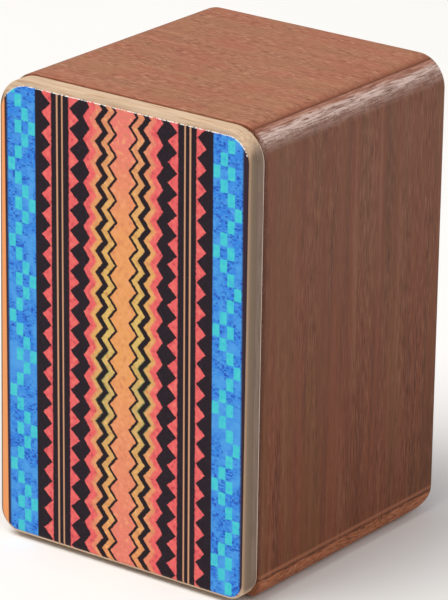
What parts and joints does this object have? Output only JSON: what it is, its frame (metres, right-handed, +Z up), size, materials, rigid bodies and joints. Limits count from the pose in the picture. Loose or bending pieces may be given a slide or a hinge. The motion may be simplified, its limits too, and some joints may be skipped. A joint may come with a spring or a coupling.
{
  "type": "percussion shaker",
  "caption": "Box-shaped hand shaker: rounded plywood panels and a front plate with a patterned film close a chamber in which loose steel pellets rattle.",
  "frame": {"origin": "middle of the footprint, on the plane of the foot", "axes": "+Z up, -Y out of the printed front, +X to the right seen from the front"},
  "size_m": [0.064, 0.0666, 0.1],
  "materials": {
    "body_veneer": "open-grained red-brown veneer, satin",
    "plate_plywood": "pale plywood, sanded",
    "print": "printed film, satin",
    "pellet_steel": "tumbled steel shot"
  },
  "bodies": {
    "box": {"right_side": "body_veneer", "left_side": "body_veneer", "top_panel": "body_veneer", "bottom_panel": "body_veneer", "back_panel": "body_veneer", "front_plate": "plate_plywood", "printed_film": "print"},
    "pellet_01": {"pellet_01": "pellet_steel"},
    "pellet_02": {"pellet_02": "pellet_steel"},
    "pellet_03": {"pellet_03": "pellet_steel"},
    "pellet_04": {"pellet_04": "pellet_steel"},
    "pellet_05": {"pellet_05": "pellet_steel"},
    "pellet_06": {"pellet_06": "pellet_steel"},
    "pellet_07": {"pellet_07": "pellet_steel"},
    "pellet_08": {"pellet_08": "pellet_steel"},
    "pellet_09": {"pellet_09": "pellet_steel"},
    "pellet_10": {"pellet_10": "pellet_steel"},
    "pellet_11": {"pellet_11": "pellet_steel"},
    "pellet_12": {"pellet_12": "pellet_steel"},
    "pellet_13": {"pellet_13": "pellet_steel"},
    "pellet_14": {"pellet_14": "pellet_steel"},
    "pellet_15": {"pellet_15": "pellet_steel"},
    "pellet_16": {"pellet_16": "pellet_steel"},
    "pellet_17": {"pellet_17": "pellet_steel"},
    "pellet_18": {"pellet_18": "pellet_steel"},
    "pellet_19": {"pellet_19": "pellet_steel"},
    "pellet_20": {"pellet_20": "pellet_steel"},
    "pellet_21": {"pellet_21": "pellet_steel"},
    "pellet_22": {"pellet_22": "pellet_steel"},
    "pellet_23": {"pellet_23": "pellet_steel"},
    "pellet_24": {"pellet_24": "pellet_steel"},
    "pellet_25": {"pellet_25": "pellet_steel"},
    "pellet_26": {"pellet_26": "pellet_steel"},
    "pellet_27": {"pellet_27": "pellet_steel"},
    "pellet_28": {"pellet_28": "pellet_steel"},
    "pellet_29": {"pellet_29": "pellet_steel"},
    "pellet_30": {"pellet_30": "pellet_steel"},
    "pellet_31": {"pellet_31": "pellet_steel"},
    "pellet_32": {"pellet_32": "pellet_steel"},
    "pellet_33": {"pellet_33": "pellet_steel"},
    "pellet_34": {"pellet_34": "pellet_steel"},
    "pellet_35": {"pellet_35": "pellet_steel"},
    "pellet_36": {"pellet_36": "pellet_steel"}
  },
  "joints": [
    {"name": "pellet_01_travel", "type": "slide", "parent": "box", "child": "pellet_01", "axis": [0, 0, 1], "range_m": [0, 0.0878]},
    {"name": "pellet_02_travel", "type": "slide", "parent": "box", "child": "pellet_02", "axis": [0, 0, 1], "range_m": [0, 0.0878]},
    {"name": "pellet_03_travel", "type": "slide", "parent": "box", "child": "pellet_03", "axis": [0, 0, 1], "range_m": [0, 0.0878]},
    {"name": "pellet_04_travel", "type": "slide", "parent": "box", "child": "pellet_04", "axis": [0, 0, 1], "range_m": [0, 0.0878]},
    {"name": "pellet_05_travel", "type": "slide", "parent": "box", "child": "pellet_05", "axis": [0, 0, 1], "range_m": [0, 0.0878]},
    {"name": "pellet_06_travel", "type": "slide", "parent": "box", "child": "pellet_06", "axis": [0, 0, 1], "range_m": [0, 0.0878]},
    {"name": "pellet_07_travel", "type": "slide", "parent": "box", "child": "pellet_07", "axis": [0, 0, 1], "range_m": [0, 0.0878]},
    {"name": "pellet_08_travel", "type": "slide", "parent": "box", "child": "pellet_08", "axis": [0, 0, 1], "range_m": [0, 0.0878]},
    {"name": "pellet_09_travel", "type": "slide", "parent": "box", "child": "pellet_09", "axis": [0, 0, 1], "range_m": [0, 0.0878]},
    {"name": "pellet_10_travel", "type": "slide", "parent": "box", "child": "pellet_10", "axis": [0, 0, 1], "range_m": [0, 0.0878]},
    {"name": "pellet_11_travel", "type": "slide", "parent": "box", "child": "pellet_11", "axis": [0, 0, 1], "range_m": [0, 0.0878]},
    {"name": "pellet_12_travel", "type": "slide", "parent": "box", "child": "pellet_12", "axis": [0, 0, 1], "range_m": [0, 0.0878]},
    {"name": "pellet_13_travel", "type": "slide", "parent": "box", "child": "pellet_13", "axis": [0, 0, 1], "range_m": [0, 0.0878]},
    {"name": "pellet_14_travel", "type": "slide", "parent": "box", "child": "pellet_14", "axis": [0, 0, 1], "range_m": [0, 0.0878]},
    {"name": "pellet_15_travel", "type": "slide", "parent": "box", "child": "pellet_15", "axis": [0, 0, 1], "range_m": [0, 0.0878]},
    {"name": "pellet_16_travel", "type": "slide", "parent": "box", "child": "pellet_16", "axis": [0, 0, 1], "range_m": [0, 0.0878]},
    {"name": "pellet_17_travel", "type": "slide", "parent": "box", "child": "pellet_17", "axis": [0, 0, 1], "range_m": [0, 0.0878]},
    {"name": "pellet_18_travel", "type": "slide", "parent": "box", "child": "pellet_18", "axis": [0, 0, 1], "range_m": [0, 0.0878]},
    {"name": "pellet_19_travel", "type": "slide", "parent": "box", "child": "pellet_19", "axis": [0, 0, 1], "range_m": [0, 0.0878]},
    {"name": "pellet_20_travel", "type": "slide", "parent": "box", "child": "pellet_20", "axis": [0, 0, 1], "range_m": [0, 0.0878]},
    {"name": "pellet_21_travel", "type": "slide", "parent": "box", "child": "pellet_21", "axis": [0, 0, 1], "range_m": [0, 0.0878]},
    {"name": "pellet_22_travel", "type": "slide", "parent": "box", "child": "pellet_22", "axis": [0, 0, 1], "range_m": [0, 0.0878]},
    {"name": "pellet_23_travel", "type": "slide", "parent": "box", "child": "pellet_23", "axis": [0, 0, 1], "range_m": [0, 0.0878]},
    {"name": "pellet_24_travel", "type": "slide", "parent": "box", "child": "pellet_24", "axis": [0, 0, 1], "range_m": [0, 0.0878]},
    {"name": "pellet_25_travel", "type": "slide", "parent": "box", "child": "pellet_25", "axis": [0, 0, 1], "range_m": [0, 0.0878]},
    {"name": "pellet_26_travel", "type": "slide", "parent": "box", "child": "pellet_26", "axis": [0, 0, 1], "range_m": [0, 0.0878]},
    {"name": "pellet_27_travel", "type": "slide", "parent": "box", "child": "pellet_27", "axis": [0, 0, 1], "range_m": [0, 0.0878]},
    {"name": "pellet_28_travel", "type": "slide", "parent": "box", "child": "pellet_28", "axis": [0, 0, 1], "range_m": [0, 0.0878]},
    {"name": "pellet_29_travel", "type": "slide", "parent": "box", "child": "pellet_29", "axis": [0, 0, 1], "range_m": [0, 0.0878]},
    {"name": "pellet_30_travel", "type": "slide", "parent": "box", "child": "pellet_30", "axis": [0, 0, 1], "range_m": [0, 0.0878]},
    {"name": "pellet_31_travel", "type": "slide", "parent": "box", "child": "pellet_31", "axis": [0, 0, 1], "range_m": [0, 0.0878]},
    {"name": "pellet_32_travel", "type": "slide", "parent": "box", "child": "pellet_32", "axis": [0, 0, 1], "range_m": [0, 0.0878]},
    {"name": "pellet_33_travel", "type": "slide", "parent": "box", "child": "pellet_33", "axis": [0, 0, 1], "range_m": [0, 0.0878]},
    {"name": "pellet_34_travel", "type": "slide", "parent": "box", "child": "pellet_34", "axis": [0, 0, 1], "range_m": [0, 0.0878]},
    {"name": "pellet_35_travel", "type": "slide", "parent": "box", "child": "pellet_35", "axis": [0, 0, 1], "range_m": [0, 0.0878]},
    {"name": "pellet_36_travel", "type": "slide", "parent": "box", "child": "pellet_36", "axis": [0, 0, 1], "range_m": [0, 0.0878]}
  ]
}
